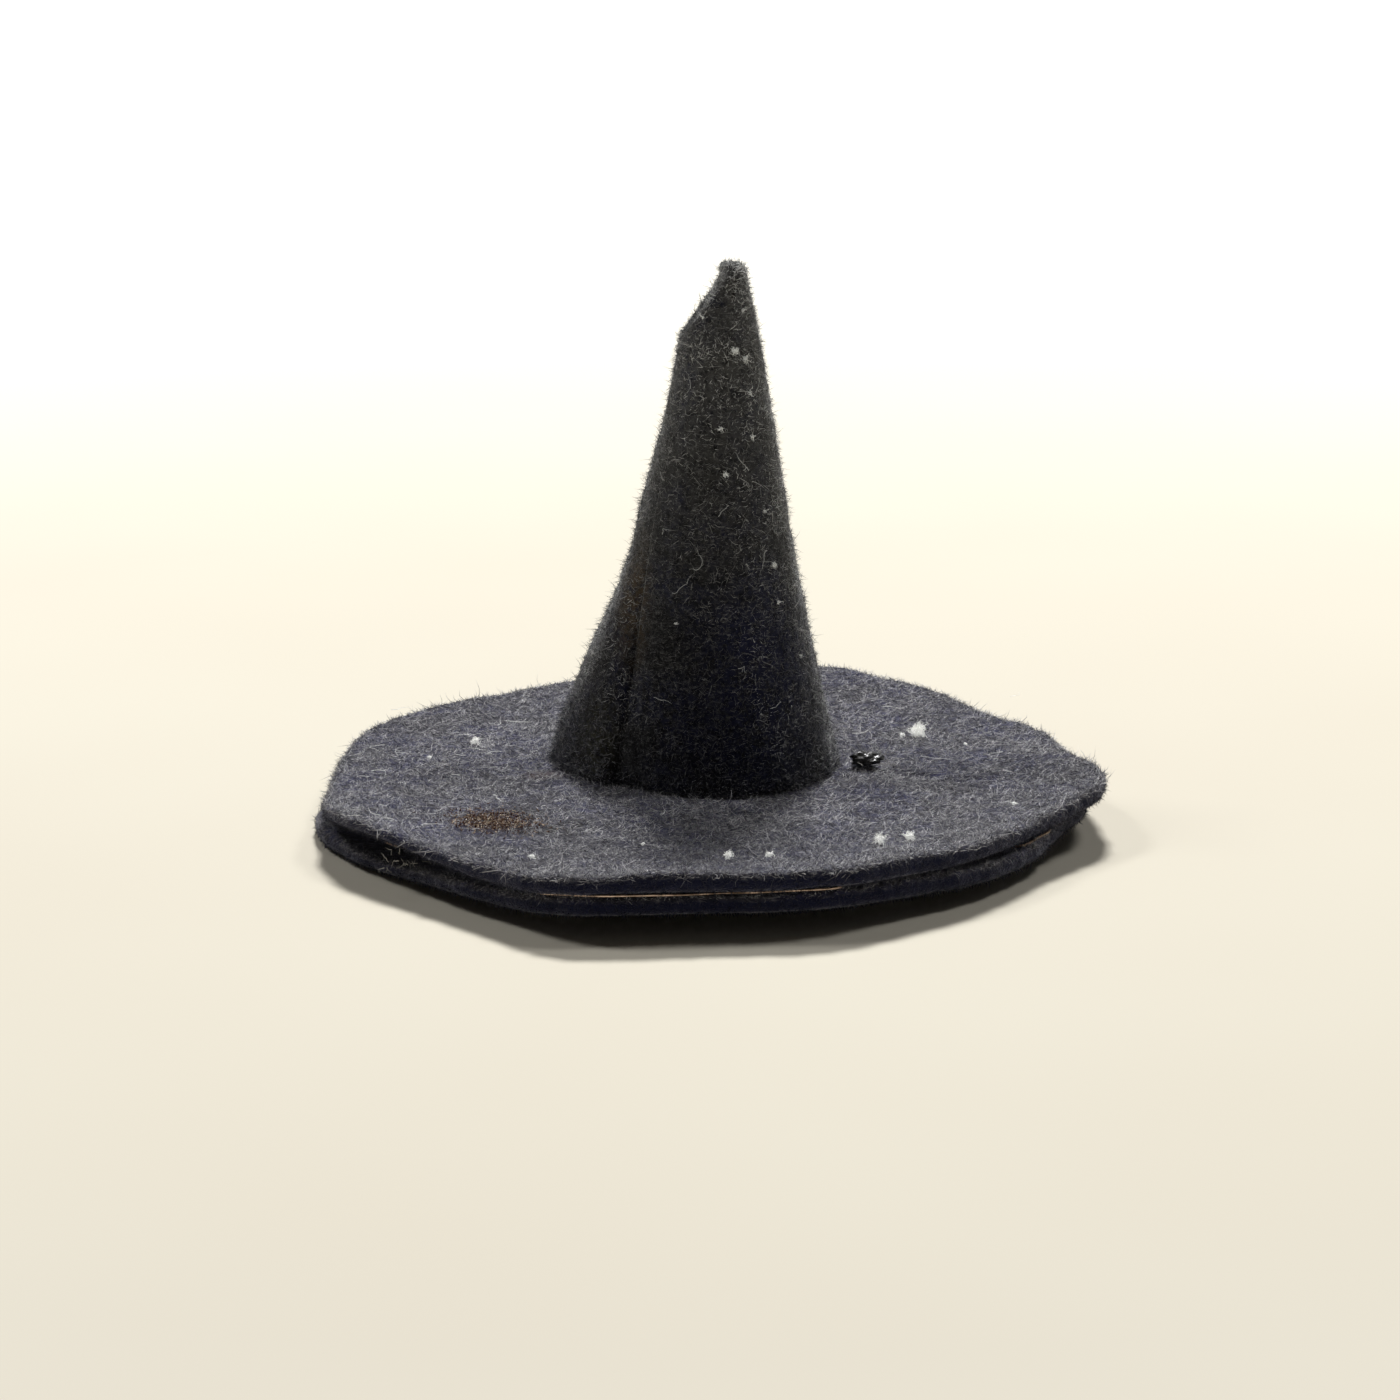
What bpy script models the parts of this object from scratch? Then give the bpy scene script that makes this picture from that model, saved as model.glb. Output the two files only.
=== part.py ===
# A doll-size witch hat of craft felt: a rolled felt crown on a two-layer felt brim, with a copper
# wire between the layers and the glue runs that hold it together. Metres, +Z up. The origin is at
# the middle of the hat's box, on the surface that the brim rests on.

from math import atan2, cos, degrees, pi, radians, sin

import bmesh
import bpy
from mathutils import Vector

MM = 0.001

# Felt, wire and the clearance kept between pieces that touch.
FELT = 1.4 * MM
CLEARANCE = 0.3 * MM
WIRE_RADIUS = 0.2 * MM
LAYER_GAP = 2 * WIRE_RADIUS + 2 * CLEARANCE
BRIM_TOP = 2 * FELT + LAYER_GAP

# Crown: a sector of felt rolled into a cone, with its flap glued down the front left side. Angles
# are in degrees, counted from +X towards +Y.
CROWN_AXIS = Vector((0.9, 4.1, 0)) * MM
CROWN_FOOT_RADIUS = 12.1 * MM
CROWN_HEIGHT = 49.5 * MM
CROWN_TAPER = 0.199
SEAM_ANGLE = 222
SEAM_LAP = 36
SEAM_LAP_HEIGHT = 14 * MM
SEAM_BUTT_GAP = 0.4 * MM

# The flap stands out from the cone by FLARE at the foot, from FLARE_START before its free edge,
# and the felt under it is pressed in by TUCK. The tip is cut off on a slant.
FLARE = 4.4 * MM
FLARE_HEIGHT = 22 * MM
FLARE_START = 145
FLARE_FULL = 42
FLARE_AT_EDGE = 0.6
TUCK = 1.0 * MM
TUCK_SPREAD = 68
TIP_CUT_POINT = Vector((1.2, 0, 49.2)) * MM
TIP_CUT_SLANT = 52

# Brim: flat in the middle, where it rests, and bent upwards outside FLAT_RADIUS.
HOLE_RADIUS = 8.5 * MM
FLAT_RADIUS = 22 * MM
EDGE_RADIUS = 39 * MM
EDGE_SOFTNESS = 0.25 * MM

# The two discs are cut by hand, so each outline is a polygon of short straight cuts.
UPPER_CORNERS = [
    (37.5, -4.8), (37.2, -10.5), (32.5, -15.5), (24.0, -27.0), (18.0, -31.5), (11.5, -36.2),
    (-13.5, -38.4), (-23.0, -29.2), (-29.6, -23.0), (-33.2, -18.8), (-36.0, -13.0), (-36.0, -5.0),
    (-35.8, 4.5), (-33.0, 15.0), (-27.0, 24.0), (-16.0, 32.0), (-3.0, 37.5), (14.0, 38.0),
    (23.0, 29.0), (32.0, 12.5),
]
LOWER_CORNERS = [
    (36.2, -5.5), (34.8, -12.0), (30.9, -17.2), (23.5, -26.5), (17.0, -32.0), (11.0, -35.4),
    (-13.0, -37.6), (-23.4, -29.6), (-30.2, -21.4), (-34.4, -15.5), (-37.3, -8.0), (-36.2, 4.0),
    (-32.5, 15.5), (-26.0, 24.8), (-15.0, 32.6), (-2.0, 38.0), (13.0, 37.6), (22.4, 29.6),
    (31.4, 13.4),
]

# Lift of the brim's edge as (degrees round the crown, millimetres), and how much more the upper
# layer lifts at the front left, where the glue has let go and left a mouth.
EDGE_LIFT = [
    (0, 2.4), (45, 0.9), (90, 0.2), (150, 0.1), (205, 0.3), (240, 1.2), (270, 2.0), (310, 2.1), (340, 2.6),
]
MOUTH_LIFT = [(0, 0.0), (190, 0.0), (216, 1.1), (240, 0.0)]

# Wire ring, a little inside the edge, whose ends pass each other.
WIRE_INSET = 0.7 * MM
WIRE_START = 150
WIRE_TURN = 372
WIRE_PASS = 0.9 * MM
WIRE_STEPS = 66

# Glue.
RING_INNER = 13.0 * MM
RING_OUTER = 20.0 * MM
RING_STEPS = 40
BEAD_RADIUS = 0.45 * MM
BEAD_CLEARANCE = 0.6 * MM
SEAM_GLUE = 0.35 * MM
DRIP_SIZE = Vector((2.6, 1.8, 1.0)) * MM
DRIP_PLACE = Vector((15.1, 2.2, BRIM_TOP / MM + 0.8)) * MM
DAB_SIZE = Vector((5.0, 2.4, 0.5)) * MM
DAB_PLACE = Vector((-23.5, -20.0, FELT / MM + 0.65)) * MM

BRIM_STEPS = 64
BRIM_RINGS = 6
CROWN_COLUMNS = 40
CROWN_ROWS = 12


def ease(share):
    share = min(max(share, 0), 1)
    return share * share * (3 - 2 * share)


def around(pairs, angle):
    # A smooth value in metres at an angle, from a closed list of (degrees, millimetres).
    angle = angle % 360
    for index, (start, low) in enumerate(pairs):
        end, high = pairs[(index + 1) % len(pairs)]
        if end <= start:
            end += 360
        if start <= angle < end:
            return (low + (high - low) * ease((angle - start) / (end - start))) * MM
    return pairs[0][1] * MM


def polygon_radius(corners, angle):
    # Distance from the crown's axis to the polygon in one direction.
    direction = Vector((cos(angle), sin(angle)))
    furthest = 0
    for index, corner in enumerate(corners):
        start = Vector(corner) * MM - CROWN_AXIS.xy
        side = Vector(corners[(index + 1) % len(corners)]) * MM - CROWN_AXIS.xy - start
        facing = direction.cross(side)
        if facing == 0:
            continue
        distance = start.cross(side) / facing
        along = start.cross(direction) / facing
        if distance > 0 and -1e-6 <= along <= 1 + 1e-6:
            furthest = max(furthest, distance)
    return furthest


def outline_radius(corners, angle):
    # The polygon with its corners slightly rounded.
    turns = [radians(step) for step in (-4, -2, 0, 2, 4)]
    return sum(polygon_radius(corners, angle + turn) for turn in turns) / len(turns)


def brim_lift(point, lifts):
    # Height of the bent brim over its flat middle.
    arm = point.xy - CROWN_AXIS.xy
    reach = max(arm.length - FLAT_RADIUS, 0) / (EDGE_RADIUS - FLAT_RADIUS)
    edge = sum(around(lift, degrees(atan2(arm.y, arm.x))) for lift in lifts)
    return edge * reach ** 2


def cone_radius(height):
    return CROWN_FOOT_RADIUS - CROWN_TAPER * height


def seam_lap(height):
    # Overlap in degrees, and negative higher up, where the two edges only face each other.
    if height < SEAM_LAP_HEIGHT:
        return SEAM_LAP * (1 - height / SEAM_LAP_HEIGHT)
    return -degrees(SEAM_BUTT_GAP / cone_radius(height))


def flare_at(height):
    return FLARE * max(1 - height / FLARE_HEIGHT, 0) ** 1.2


def crown_radius(turn, height):
    # Outer radius of the rolled felt. The turn runs in degrees from the tucked edge at the seam
    # round to the flap's free edge, a full turn later.
    flap_edge = SEAM_ANGLE + 360
    rise = ease((turn - flap_edge + FLARE_START) / (FLARE_START - FLARE_FULL))
    fall = 1 - (1 - FLARE_AT_EDGE) * ease((turn - flap_edge + FLARE_FULL) / FLARE_FULL)
    press = TUCK * min(1, 5 * flare_at(height) / FLARE)
    tucked = 1 - ease((turn - SEAM_ANGLE) / TUCK_SPREAD)
    return cone_radius(height) + flare_at(height) * rise * fall - press * tucked


def round_crown(turn, radius, height):
    # A point at a height over the brim, in cylinder coordinates about the crown's axis.
    angle = radians(turn)
    return CROWN_AXIS + Vector((radius * cos(angle), radius * sin(angle), BRIM_TOP + height))


def make_material(name, colour, roughness, metallic=0.0):
    material = bpy.data.materials.new(name)
    material.use_nodes = True
    shader = material.node_tree.nodes["Principled BSDF"]
    shader.inputs["Base Color"].default_value = (*colour, 1)
    shader.inputs["Roughness"].default_value = roughness
    shader.inputs["Metallic"].default_value = metallic
    return material


def make_collection(name):
    collection = bpy.data.collections.new(name)
    bpy.context.scene.collection.children.link(collection)
    return collection


def take(piece, name, collection):
    # Names a piece that an operator made, and moves it to its collection.
    piece.name = name
    for owner in list(piece.users_collection):
        owner.objects.unlink(piece)
    collection.objects.link(piece)
    return piece


def surface(name, rows, closed, collection, material):
    # An open surface through rows of points. A closed one joins each row's end to its start.
    mesh = bpy.data.meshes.new(name)
    work = bmesh.new()
    grid = [[work.verts.new(point) for point in row] for row in rows]
    for lower, upper in zip(grid, grid[1:]):
        for index in range(len(lower) if closed else len(lower) - 1):
            after = (index + 1) % len(lower)
            work.faces.new((lower[index], lower[after], upper[after], upper[index]))
    work.to_mesh(mesh)
    work.free()
    mesh.materials.append(material)
    made = bpy.data.objects.new(name, mesh)
    collection.objects.link(made)
    return made


def tube(name, points, radius, collection, material):
    curve = bpy.data.curves.new(name, "CURVE")
    curve.dimensions = "3D"
    curve.bevel_depth = radius
    curve.bevel_resolution = 2
    curve.use_fill_caps = True
    spline = curve.splines.new("POLY")
    spline.points.add(len(points) - 1)
    for place, point in zip(spline.points, points):
        place.co = (*point, 1)
    curve.materials.append(material)
    made = bpy.data.objects.new(name, curve)
    collection.objects.link(made)
    return made


def drop(name, size, place, turn, collection, material):
    # A flattened drop of glue.
    bpy.ops.mesh.primitive_uv_sphere_add(segments=16, ring_count=8, radius=0.5, location=place)
    made = take(bpy.context.object, name, collection)
    made.scale = size
    made.rotation_euler.z = radians(turn)
    made.data.materials.append(material)
    made.data.shade_smooth()
    return made


def solidify(piece, thickness, offset):
    modifier = piece.modifiers.new("thickness", "SOLIDIFY")
    modifier.thickness = thickness
    modifier.offset = offset
    modifier.use_even_offset = True


def soften_edges(piece, width):
    modifier = piece.modifiers.new("soft_edge", "BEVEL")
    modifier.width = width
    modifier.segments = 1
    modifier.limit_method = "ANGLE"
    modifier.angle_limit = radians(50)


def make_cutter(name, size, place, tilt, collection):
    bpy.ops.mesh.primitive_cube_add(size=1, location=place, rotation=(0, radians(tilt), 0))
    cutter = take(bpy.context.object, name, collection)
    cutter.scale = (size, size, size)
    cutter.display_type = "WIRE"
    cutter.hide_render = True
    return cutter


def cut_by(piece, cutter):
    modifier = piece.modifiers.new(cutter.name, "BOOLEAN")
    modifier.operation = "DIFFERENCE"
    modifier.solver = "EXACT"
    modifier.object = cutter


def make_brim_layer(name, corners, base, lifts, parts, felt):
    rows = []
    for ring in range(BRIM_RINGS):
        share = 1 - (ring / (BRIM_RINGS - 1)) ** 1.2
        row = []
        for step in range(BRIM_STEPS):
            angle = 2 * pi * step / BRIM_STEPS
            radius = HOLE_RADIUS + share * (outline_radius(corners, angle) - HOLE_RADIUS)
            point = CROWN_AXIS + Vector((radius * cos(angle), radius * sin(angle), base))
            point.z += brim_lift(point, lifts)
            row.append(point)
        rows.append(row)
    layer = surface(name, rows, True, parts, felt)
    solidify(layer, FELT, 1)
    soften_edges(layer, EDGE_SOFTNESS)
    return layer


def make_crown(parts, cutters, felt):
    # The sheet starts a little below the brim's top, and is then cut level at the foot.
    below = 1 * MM
    rows = []
    for level in range(CROWN_ROWS):
        height = (CROWN_HEIGHT + below) * level / (CROWN_ROWS - 1) - below
        start = SEAM_ANGLE - seam_lap(height)
        row = []
        for column in range(CROWN_COLUMNS + 1):
            turn = start + (SEAM_ANGLE + 360 - start) * column / CROWN_COLUMNS
            row.append(round_crown(turn, crown_radius(turn, height), height))
        rows.append(row)
    crown = surface("crown", rows, False, parts, felt)
    solidify(crown, FELT, -1)
    block = 40 * MM
    foot = CROWN_AXIS + Vector((0, 0, BRIM_TOP + CLEARANCE - block / 2))
    cut_by(crown, make_cutter("foot_cut", block, foot, 0, cutters))
    slant = radians(TIP_CUT_SLANT)
    tip = CROWN_AXIS + Vector((0, 0, BRIM_TOP)) + TIP_CUT_POINT
    tip += Vector((-sin(slant), 0, cos(slant))) * block / 2
    cut_by(crown, make_cutter("tip_cut", block, tip, -TIP_CUT_SLANT, cutters))
    return crown


def make_wire(parts, copper):
    # The first stretch runs further in, so that the last one passes it on the outside.
    points = []
    for step in range(WIRE_STEPS + 1):
        angle = radians(WIRE_START + WIRE_TURN * step / WIRE_STEPS)
        inset = WIRE_INSET + WIRE_PASS * (1 - ease(step / 5))
        radius = outline_radius(UPPER_CORNERS, angle) - inset
        height = FELT + CLEARANCE + WIRE_RADIUS
        point = CROWN_AXIS + Vector((radius * cos(angle), radius * sin(angle), height))
        point.z += brim_lift(point, [EDGE_LIFT])
        points.append(point)
    return tube("brim_wire", points, WIRE_RADIUS, parts, copper)


def make_layer_glue(parts, glue):
    # A flat ring of glue between the two felt layers. Its profile runs down the outer side.
    low = FELT + CLEARANCE
    high = low + 2 * WIRE_RADIUS
    profile = [(RING_OUTER, high), (RING_OUTER, low), (RING_INNER, low), (RING_INNER, high)]
    mesh = bpy.data.meshes.new("brim_glue")
    edges = [(index, (index + 1) % len(profile)) for index in range(len(profile))]
    mesh.from_pydata([(across, 0, height) for across, height in profile], edges, [])
    mesh.materials.append(glue)
    ring = bpy.data.objects.new("brim_glue", mesh)
    ring.location = CROWN_AXIS
    parts.objects.link(ring)
    turn = ring.modifiers.new("turn", "SCREW")
    turn.axis = "Z"
    turn.angle = 2 * pi
    turn.steps = RING_STEPS
    turn.render_steps = RING_STEPS
    turn.use_merge_vertices = True
    turn.merge_threshold = 0.00001
    return ring


def make_foot_bead(parts, glue):
    # A run of glue in the corner inside the crown's foot, clear of the seam.
    height = CLEARANCE + BEAD_RADIUS
    points = []
    for turn in range(282, 548, 8):
        radius = crown_radius(turn, height) - FELT - BEAD_CLEARANCE - BEAD_RADIUS
        points.append(round_crown(turn, radius, height))
    return tube("crown_foot_glue", points, BEAD_RADIUS, parts, glue)


def make_seam_glue(parts, glue):
    # A strip of glue on the tucked edge, under the flap.
    rows = []
    for level in range(5):
        height = (1.2 + 1.9 * level) * MM
        row = []
        for column in range(6):
            turn = SEAM_ANGLE - 3 - (seam_lap(height) - 6) * (1 - column / 5)
            radius = crown_radius(turn, height) + CLEARANCE
            row.append(round_crown(turn, radius, height))
        rows.append(row)
    strip = surface("crown_seam_glue", rows, False, parts, glue)
    solidify(strip, SEAM_GLUE, 1)
    return strip


def make_hat():
    for piece in list(bpy.data.objects):
        bpy.data.objects.remove(piece, do_unlink=True)
    parts = make_collection("witch_hat")
    cutters = make_collection("witch_hat_cutters")
    crown_felt = make_material("crown_felt", (0.012, 0.012, 0.018), 0.95)
    brim_felt = make_material("brim_felt", (0.045, 0.048, 0.07), 0.95)
    copper = make_material("copper_wire", (0.62, 0.3, 0.16), 0.3, 1.0)
    glue = make_material("hot_glue", (0.3, 0.26, 0.2), 0.35)

    make_crown(parts, cutters, crown_felt)
    make_brim_layer("brim_top", UPPER_CORNERS, FELT + LAYER_GAP, [EDGE_LIFT, MOUTH_LIFT], parts, brim_felt)
    make_brim_layer("brim_bottom", LOWER_CORNERS, 0, [EDGE_LIFT], parts, brim_felt)
    make_wire(parts, copper)
    make_layer_glue(parts, glue)
    make_foot_bead(parts, glue)
    make_seam_glue(parts, glue)

    drop("foot_glue_drip", DRIP_SIZE, DRIP_PLACE, 20, parts, glue)
    dab = DAB_PLACE + Vector((0, 0, brim_lift(DAB_PLACE, [EDGE_LIFT])))
    drop("mouth_glue", DAB_SIZE, dab, -40, parts, glue)


make_hat()
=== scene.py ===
from math import cos, pi, radians, sin

import bpy
import numpy as np
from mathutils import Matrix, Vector


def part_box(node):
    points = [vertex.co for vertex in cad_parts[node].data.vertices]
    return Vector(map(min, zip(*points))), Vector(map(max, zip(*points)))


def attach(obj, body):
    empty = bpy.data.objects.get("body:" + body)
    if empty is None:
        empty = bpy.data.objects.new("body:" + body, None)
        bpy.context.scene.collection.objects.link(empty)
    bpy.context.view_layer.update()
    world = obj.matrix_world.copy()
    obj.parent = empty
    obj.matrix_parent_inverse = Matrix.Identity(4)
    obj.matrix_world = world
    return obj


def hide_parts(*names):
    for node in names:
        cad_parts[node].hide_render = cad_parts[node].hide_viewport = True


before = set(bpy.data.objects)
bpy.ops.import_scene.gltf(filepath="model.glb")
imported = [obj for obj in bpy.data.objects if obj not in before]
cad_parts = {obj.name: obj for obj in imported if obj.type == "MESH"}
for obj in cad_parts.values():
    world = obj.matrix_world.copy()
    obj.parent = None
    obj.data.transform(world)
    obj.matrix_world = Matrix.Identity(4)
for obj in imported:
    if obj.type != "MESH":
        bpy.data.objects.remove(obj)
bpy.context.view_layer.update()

mm = 0.001
glueLow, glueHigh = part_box("brim_glue")
crownLow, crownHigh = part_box("crown")
axis = np.array([(glueLow.x + glueHigh.x) / 2, (glueLow.y + glueHigh.y) / 2, 0])
brimBins = 64  # the CAD discs have this many points round their edge
tableGap = 0.06 * mm  # no fibre comes nearer to the table than this
print("frame loaded, crown axis at", [round(float(v) / mm, 2) for v in axis])


# A shader socket that takes part in plain sums
class Flow:
    def __init__(self, tree, socket):
        self.tree = tree
        self.socket = socket

    def sum(self, operation, first, second):
        node = self.tree.nodes.new("ShaderNodeMath")
        node.operation = operation
        for slot, value in zip(node.inputs, (first, second)):
            if isinstance(value, Flow):
                self.tree.links.new(value.socket, slot)
            else:
                slot.default_value = value
        return Flow(self.tree, node.outputs[0])

    def __add__(self, other):
        return self.sum("ADD", self, other)

    def __radd__(self, other):
        return self.sum("ADD", other, self)

    def __sub__(self, other):
        return self.sum("SUBTRACT", self, other)

    def __rsub__(self, other):
        return self.sum("SUBTRACT", other, self)

    def __mul__(self, other):
        return self.sum("MULTIPLY", self, other)

    def __rmul__(self, other):
        return self.sum("MULTIPLY", other, self)

    def clamped(self):
        return self.sum("MAXIMUM", self.sum("MINIMUM", self, 1.0), 0.0)


# One material: its tree, its Principled shader and a way to add any other node
class Finish:
    def __init__(self, name, values):
        self.material = bpy.data.materials.new(name)
        self.material.use_nodes = True
        self.tree = self.material.node_tree
        self.shader = self.tree.nodes["Principled BSDF"]
        for socket, value in values.items():
            self.shader.inputs[socket].default_value = value

    def add(self, kind, settings=None, values=None, output=0):
        node = self.tree.nodes.new("ShaderNode" + kind)
        for key, value in (settings or {}).items():
            setattr(node, key, value)
        for key, value in (values or {}).items():
            if isinstance(value, Flow):
                self.tree.links.new(value.socket, node.inputs[key])
            else:
                node.inputs[key].default_value = value
        return Flow(self.tree, node.outputs[output])

    def place(self):
        return self.add("TexCoord", output=3)

    def stretched(self, scale, turn=0.0):
        return self.add("Mapping", None, {"Vector": self.place(), "Rotation": (0, 0, turn), "Scale": scale})

    def noise(self, size, detail=3.0, rough=0.55, where=None):
        values = {"Vector": where or self.place(), "Scale": 1 / size, "Detail": detail, "Roughness": rough}
        return self.add("TexNoise", None, values)

    def range(self, value, low, high, to=(0.0, 1.0)):
        values = {"Value": value, "From Min": low, "From Max": high, "To Min": to[0], "To Max": to[1]}
        return self.add("MapRange", {"clamp": True}, values)

    def mix(self, share, first, second):
        return self.add("Mix", {"data_type": "RGBA"}, {0: share, 6: first, 7: second}, 2)

    def near(self, spot, reach):
        # 1 at a spot given in metres, falling to 0 at its reach along each axis
        offset = self.add("VectorMath", {"operation": "SUBTRACT"}, {0: self.place(), 1: spot})
        share = self.add("VectorMath", {"operation": "DIVIDE"}, {0: offset, 1: reach})
        away = self.add("VectorMath", {"operation": "LENGTH"}, {0: share}, 1)
        return self.range(away, 1.0, 0.35)

    def drive(self, socket, flow):
        self.tree.links.new(flow.socket, self.shader.inputs[socket])

    def bump(self, height, distance, strength=1.0):
        values = {"Height": height, "Distance": distance, "Strength": strength}
        self.drive("Normal", self.add("Bump", None, values))


def smooth(share):
    share = np.clip(share, 0, 1)
    return share * share * (3 - 2 * share)


cellPrimes = (73856093, 19349663, 83492791)
cellMixer = 1274126177
seedStep = 17.3  # cells between one seed and the next


def grain(points, size, seed):
    # soft random values from -1 to 1 that change over about this size
    spot = points / size + seed * seedStep
    cell = np.floor(spot).astype(np.int64)
    part = spot - cell
    part = part * part * (3 - 2 * part)
    total = np.zeros(points.shape[:-1])
    for corner in range(8):
        step = np.array([corner & 1, corner >> 1 & 1, corner >> 2 & 1])
        at = (cell + step) * cellPrimes
        mixed = at[..., 0] ^ at[..., 1] ^ at[..., 2]
        mixed = ((mixed ^ (mixed >> 13)) * cellMixer) & 0xFFFFFFFF
        value = ((mixed ^ (mixed >> 15)) & 65535) / 32767.5 - 1
        total += np.prod(np.where(step == 1, part, 1 - part), axis=-1) * value
    return total


def relief(points, sizes, seed):
    # several grains on top of each other, each as (size, height)
    return sum(grain(points, size, seed + n) * height for n, (size, height) in enumerate(sizes))


def makePiece(name, points, faces, finish, stands=None):
    mesh = bpy.data.meshes.new(name)
    mesh.from_pydata(np.asarray(points).reshape(-1, 3).tolist(), [], faces)
    mesh.materials.append(finish.material)
    mesh.shade_smooth()
    piece = bpy.data.objects.new(name, mesh)
    bpy.context.scene.collection.objects.link(piece)
    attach(piece, "root")
    if stands:
        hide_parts(stands)
    return piece


def sheetFaces(rows, columns, closed):
    # faces of a felt sheet whose outer points come first and whose inner points follow
    faces = []

    def join(*corners):
        # each corner is a side, a row and a column
        faces.append(tuple((side * rows + row) * columns + column % columns for side, row, column in corners))

    top, end = rows - 1, columns - 1
    turns = columns if closed else end
    for row in range(top):
        for column in range(turns):
            after = column + 1
            join((0, row, column), (0, row, after), (0, row + 1, after), (0, row + 1, column))
            join((1, row + 1, column), (1, row + 1, after), (1, row, after), (1, row, column))
    for column in range(turns):
        after = column + 1
        join((1, 0, column), (1, 0, after), (0, 0, after), (0, 0, column))
        join((0, top, column), (0, top, after), (1, top, after), (1, top, column))
    if not closed:
        for row in range(top):
            join((0, row, 0), (0, row + 1, 0), (1, row + 1, 0), (1, row, 0))
            join((1, row, end), (1, row + 1, end), (0, row + 1, end), (0, row, end))
    return faces


def roundedShare(distance, reach, curve=2.2, least=0.08):
    # thickness of a soft cut edge, as a share, at a distance in from it
    inward = np.clip(distance / reach, 0, 1)
    return np.maximum((1 - (1 - inward) ** curve) ** (1 / curve), least)


# Brim

brim = {
    "hole": 8.5 * mm, "flat": 22 * mm, "felt": 1.4 * mm, "edgeRound": 0.75 * mm, "pastEdge": 1.3,
    "swell": 0.38 * mm, "swellFrom": 28 * mm, "swellOver": 7 * mm,
    "dentsFrom": 13 * mm, "dentsOver": 4 * mm, "lowest": 0.02 * mm,
    "columns": 480, "rows": 100,
    "relief": [(7 * mm, 0.14 * mm), (2.2 * mm, 0.08 * mm), (0.8 * mm, 0.05 * mm)],
    "ragged": [(4 * mm, 0.22 * mm), (1.2 * mm, 0.14 * mm), (0.5 * mm, 0.09 * mm)],
    # small changes of the cut edge, as (turn, half width, millimetres outwards)
    "trims": {"brim_top": [(161, 24, 1.3), (17, 20, 1.3), (355, 8, 0.6), (346, 6, -0.4)],
              "brim_bottom": [(335, 14, -0.7), (228, 28, -1.0), (312, 20, 1.2)]},
    # where the discs gape, as (turn, half width), and how much of the swell that takes away
    "mouth": (220, 32), "gape": 1.6,
}
crease = {
    "start": np.array([16.5, 0.8]) * mm, "end": np.array([30, -3.0]) * mm,
    "depth": 0.45 * mm, "width": 0.9 * mm,
}


def bumpAt(angle, turn, width):
    # 1 at a turn in degrees, falling smoothly to 0 at its half width
    away = np.abs((np.degrees(angle) - turn + 180) % 360 - 180)
    return smooth(1 - away / width)


def rimTable(node):
    # radius and lowest point of a CAD disc's edge, for each of its points round the crown's axis
    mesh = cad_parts[node].data
    points = np.empty(len(mesh.vertices) * 3)
    mesh.vertices.foreach_get("co", points)
    points = points.reshape(-1, 3)
    arm = points[:, :2] - axis[:2]
    bins = np.round(np.arctan2(arm[:, 1], arm[:, 0]) / (2 * pi / brimBins)).astype(int) % brimBins
    far = np.hypot(arm[:, 0], arm[:, 1])
    radius = np.array([far[bins == k].max() for k in range(brimBins)])
    low = np.array([points[(bins == k) & (far > radius[k] - 0.5 * mm), 2].min() for k in range(brimBins)])
    angle = np.arange(brimBins) * 2 * pi / brimBins
    radius += sum(bumpAt(angle, turn, width) * change * mm for turn, width, change in brim["trims"][node])
    return radius, low


def roundBrim(table, angle):
    # smooth value between the points of a table that runs once round
    place = (angle / (2 * pi) * brimBins) % brimBins
    k = np.floor(place).astype(int)
    t = place - k
    p = [table[(k + shift) % brimBins] for shift in (-1, 0, 1, 2)]
    bend = 2 * p[0] - 5 * p[1] + 4 * p[2] - p[3]
    return p[1] + t * (p[2] - p[0] + t * (bend + t * (3 * (p[1] - p[2]) + p[3] - p[0]))) / 2


rims = {"brim_top": rimTable("brim_top"), "brim_bottom": rimTable("brim_bottom")}


def discHeight(node, radius, angle):
    # underside of a felt disc at rest, bent up from the flat middle to the edge
    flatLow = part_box(node)[0].z
    rimRadius, rimLow = (roundBrim(table, angle) for table in rims[node])
    reach = np.clip((radius - brim["flat"]) / (rimRadius - brim["flat"]), 0, brim["pastEdge"])
    return flatLow + np.maximum(rimLow - flatLow, 0) * reach ** 2


def brimTopAt(x, y):
    # height of the upper disc's top
    radius, angle = np.hypot(x - axis[0], y - axis[1]), np.arctan2(y - axis[1], x - axis[0])
    return discHeight("brim_top", radius, angle) + brim["felt"]


def creaseAt(x, y):
    # depth of a low crease that runs from the glue lump towards the right edge
    start, run = crease["start"], crease["end"] - crease["start"]
    along = ((x - start[0]) * run[0] + (y - start[1]) * run[1]) / np.sum(run ** 2)
    across = np.hypot(x - start[0] - along * run[0], y - start[1] - along * run[1])
    fade = smooth(along / 0.15) * smooth((1 - along) / 0.4)
    return crease["depth"] * fade * np.exp(-(across / crease["width"]) ** 2)


def rowShares(count, closeFrom=0.84, closeOver=0.16, closeShare=0.028):
    # rows lie close together at both edges, where the felt rounds off
    steps = np.linspace(0, 1, count)
    share = np.interp(steps, [0, 0.1, closeFrom, 1], [0, 0.03, 1 - closeShare, 1])
    left = np.clip((1 - steps) / closeOver, 0, 1)
    return np.where(steps > closeFrom, 1 - closeShare * left ** 1.8, share)


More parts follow.
